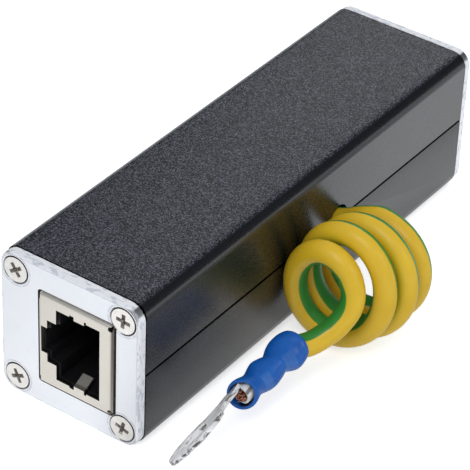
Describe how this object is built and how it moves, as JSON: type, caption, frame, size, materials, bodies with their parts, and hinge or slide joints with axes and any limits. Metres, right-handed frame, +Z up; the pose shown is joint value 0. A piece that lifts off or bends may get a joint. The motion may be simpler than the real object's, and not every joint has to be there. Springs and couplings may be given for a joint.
{
  "type": "ethernet surge protector",
  "caption": "Inline ethernet surge protector: square extruded case with a shielded socket in each end plate and a coiled earth wire ending in a ring terminal.",
  "frame": {"origin": "bottom centre of the case, midway between the fronts of the two sockets", "axes": "+Z up, +Y along the case from the pictured end to the far end, +X to the side that the earth wire leaves"},
  "size_m": [0.0438, 0.0897, 0.025],
  "materials": {
    "anodised_black": "satin black anodised",
    "zinc_plate": "bright zinc plated sheet",
    "nickel_screw": "nickel plated",
    "jack_shield_steel": "nickel plated sheet",
    "jack_plastic": "moulded",
    "contact_gold": "gold plated",
    "board_laminate": "solder mask on glass laminate",
    "arrester_ceramic": "ceramic with plated ends",
    "diode_epoxy": "moulded epoxy",
    "earth_wire_pvc": "satin, yellow with a green stripe",
    "solder": "bright solder",
    "sleeve_vinyl": "smooth blue vinyl",
    "tinned_copper": "bright tinned",
    "bare_copper": "bare strands"
  },
  "bodies": {
    "root": {"lower_case": "anodised_black", "upper_case": "anodised_black", "front_plate": "zinc_plate", "rear_plate": "zinc_plate", "front_screw_1": "nickel_screw", "front_screw_2": "nickel_screw", "front_screw_3": "nickel_screw", "front_screw_4": "nickel_screw", "front_jack_shield": "jack_shield_steel", "front_jack_housing": "jack_plastic", "front_contact_1": "contact_gold", "front_contact_2": "contact_gold", "front_contact_3": "contact_gold", "front_contact_4": "contact_gold", "front_contact_5": "contact_gold", "front_contact_6": "contact_gold", "front_contact_7": "contact_gold", "front_contact_8": "contact_gold", "rear_screw_1": "nickel_screw", "rear_screw_2": "nickel_screw", "rear_screw_3": "nickel_screw", "rear_screw_4": "nickel_screw", "rear_jack_shield": "jack_shield_steel", "rear_jack_housing": "jack_plastic", "rear_contact_1": "contact_gold", "rear_contact_2": "contact_gold", "rear_contact_3": "contact_gold", "rear_contact_4": "contact_gold", "rear_contact_5": "contact_gold", "rear_contact_6": "contact_gold", "rear_contact_7": "contact_gold", "rear_contact_8": "contact_gold", "circuit_board": "board_laminate", "arrester_1": "arrester_ceramic", "arrester_2": "arrester_ceramic", "arrester_3": "arrester_ceramic", "arrester_4": "arrester_ceramic", "diode_1": "diode_epoxy", "diode_2": "diode_epoxy", "diode_3": "diode_epoxy", "diode_4": "diode_epoxy", "diode_5": "diode_epoxy", "diode_6": "diode_epoxy", "diode_7": "diode_epoxy", "diode_8": "diode_epoxy", "earth_solder_joint": "solder", "earth_wire_exit": "earth_wire_pvc", "earth_wire_coil": "earth_wire_pvc", "earth_wire_lead": "earth_wire_pvc", "terminal_sleeve": "sleeve_vinyl", "ring_terminal": "tinned_copper", "wire_strands": "bare_copper"}
  },
  "joints": []
}
